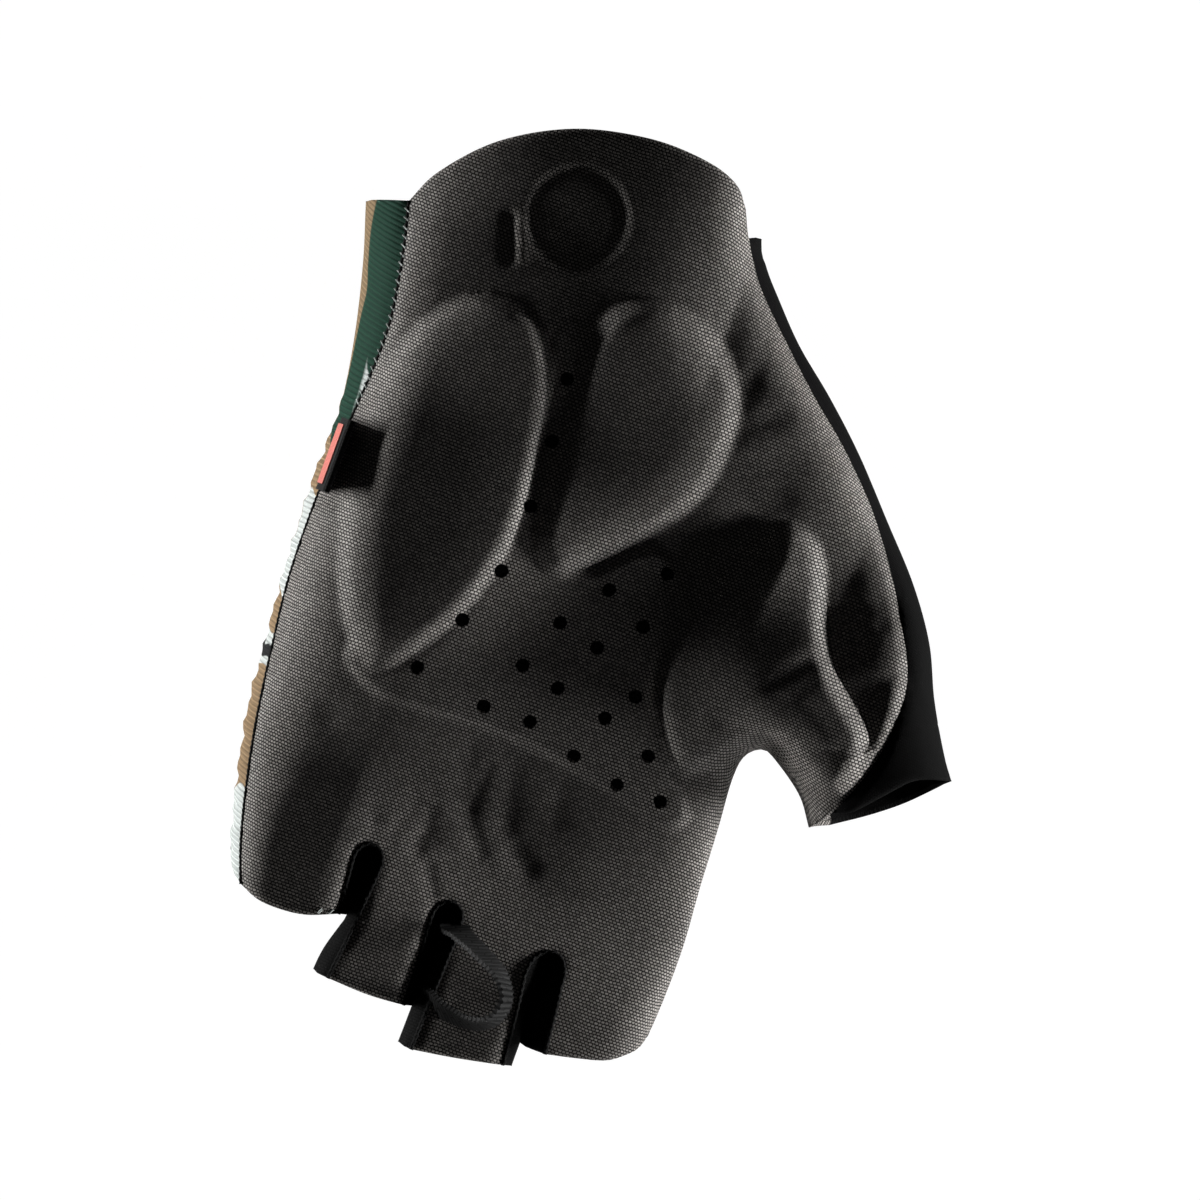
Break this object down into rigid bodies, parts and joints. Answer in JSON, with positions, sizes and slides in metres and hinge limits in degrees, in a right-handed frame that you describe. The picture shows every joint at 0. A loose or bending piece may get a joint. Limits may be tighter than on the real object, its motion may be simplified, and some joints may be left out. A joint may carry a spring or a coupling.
{
  "type": "mountain bike glove",
  "caption": "Left-hand fingerless cycling glove with a padded, perforated palm, a domed wrist flap, open finger and thumb ends, and a pull loop between the fingers.",
  "frame": {"origin": "middle of the flat patch of the glove's back, which lies on the table with the palm up", "axes": "+Z out of the palm, -Y along the fingers, +X towards the thumb"},
  "size_m": [0.1391, 0.1729, 0.0419],
  "materials": {
    "palm_leather": "matte woven synthetic leather",
    "printed_knit": null,
    "thumb_microfibre": "napped microfibre",
    "side_stretch": "plain stretch knit",
    "lining_jersey": "soft jersey",
    "foam": "matte foam sheet",
    "gel": "soft gel",
    "hem_tape": "woven tape",
    "ribbon": "ribbed ribbon",
    "label": "folded satin tape"
  },
  "bodies": {
    "hand": {"palm_panel": "palm_leather", "back_panel": "printed_knit", "thumb_gusset": "thumb_microfibre", "palm_lining": "lining_jersey", "palm_foam": "foam", "ulnar_pad": "gel", "thenar_pad": "gel", "thumb_pad": "gel", "cuff_band": "hem_tape", "little_web": "side_stretch", "ring_web": "side_stretch", "middle_web": "side_stretch"},
    "little_finger": {"little_front": "palm_leather", "little_back": "printed_knit", "little_radial_side": "side_stretch", "little_hem": "hem_tape"},
    "ring_finger": {"ring_front": "palm_leather", "ring_back": "printed_knit", "ring_ulnar_side": "side_stretch", "ring_radial_side": "side_stretch", "ring_hem": "hem_tape"},
    "middle_finger": {"middle_front": "palm_leather", "middle_back": "printed_knit", "middle_ulnar_side": "side_stretch", "middle_radial_side": "side_stretch", "middle_hem": "hem_tape"},
    "index_finger": {"index_front": "palm_leather", "index_back": "printed_knit", "index_ulnar_side": "side_stretch", "index_hem": "hem_tape"},
    "thumb": {"thumb_front": "palm_leather", "thumb_back": "thumb_microfibre", "thumb_hem": "hem_tape"},
    "pull_loop": {"pull_loop": "ribbon"},
    "side_label": {"side_label": "label"}
  },
  "joints": [
    {"name": "little_bend", "type": "hinge", "parent": "hand", "child": "little_finger", "pos_m": [-0.0352, -0.0525, 0.015], "axis": [-1, 0, 0], "range_deg": [-10, 45], "stiffness_Nm_per_rad": 0.02},
    {"name": "ring_bend", "type": "hinge", "parent": "hand", "child": "ring_finger", "pos_m": [-0.014, -0.0575, 0.015], "axis": [-1, 0, 0], "range_deg": [-10, 45], "stiffness_Nm_per_rad": 0.02},
    {"name": "middle_bend", "type": "hinge", "parent": "hand", "child": "middle_finger", "pos_m": [0.0052, -0.0599, 0.015], "axis": [-1, 0, 0], "range_deg": [-10, 45], "stiffness_Nm_per_rad": 0.02},
    {"name": "index_bend", "type": "hinge", "parent": "hand", "child": "index_finger", "pos_m": [0.0274, -0.0599, 0.015], "axis": [-1, 0, 0], "range_deg": [-10, 45], "stiffness_Nm_per_rad": 0.02},
    {"name": "thumb_bend", "type": "hinge", "parent": "hand", "child": "thumb", "pos_m": [0.04831, 0.00026, 0.019], "axis": [-0.766, -0.6428, 0], "range_deg": [-10, 35], "stiffness_Nm_per_rad": 0.03},
    {"name": "loop_fold", "type": "hinge", "parent": "middle_finger", "child": "pull_loop", "pos_m": [0.0013, -0.0748, 0.024], "axis": [0, -1, 0], "range_deg": [-35, 40], "stiffness_Nm_per_rad": 0.002},
    {"name": "label_fold", "type": "hinge", "parent": "hand", "child": "side_label", "pos_m": [-0.05397, 0.009, 0.02724], "axis": [0, 1, 0], "range_deg": [-50, 25], "stiffness_Nm_per_rad": 0.001}
  ]
}
